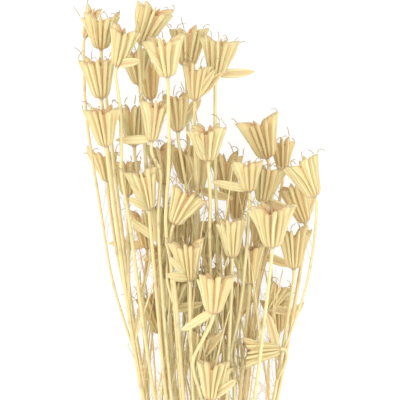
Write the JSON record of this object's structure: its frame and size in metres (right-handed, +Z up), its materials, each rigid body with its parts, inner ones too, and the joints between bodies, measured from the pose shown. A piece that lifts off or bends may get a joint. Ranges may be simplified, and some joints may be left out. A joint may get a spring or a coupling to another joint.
{
  "type": "bunch of nigella seed pods",
  "caption": "Tied bunch of dried nigella stems lying on its side: pale straw stalks that end in star-shaped, beaked seed pods, held by wound twine.",
  "frame": {"origin": "middle of the tie's flat underside, on the surface that the bunch lies on", "axes": "+Y along the bunch from the tie towards the seed pods, +X across it, +Z up from the surface"},
  "size_m": [0.1925, 0.5946, 0.1133],
  "materials": {
    "straw": "dry, bleached plant fibre",
    "twine": "coarse natural twine"
  },
  "bodies": {
    "root": {"stem_01": "straw", "stem_02": "straw", "stem_03": "straw", "stem_04": "straw", "stem_05": "straw", "stem_06": "straw", "stem_07": "straw", "stem_08": "straw", "stem_09": "straw", "stem_10": "straw", "stem_11": "straw", "stem_12": "straw", "stem_13": "straw", "stem_14": "straw", "stem_15": "straw", "stem_16": "straw", "stem_17": "straw", "stem_18": "straw", "stem_19": "straw", "stem_20": "straw", "stem_21": "straw", "stem_22": "straw", "stem_23": "straw", "stem_24": "straw", "stem_25": "straw", "stem_26": "straw", "stem_27": "straw", "stem_28": "straw", "tie": "twine"}
  },
  "joints": []
}
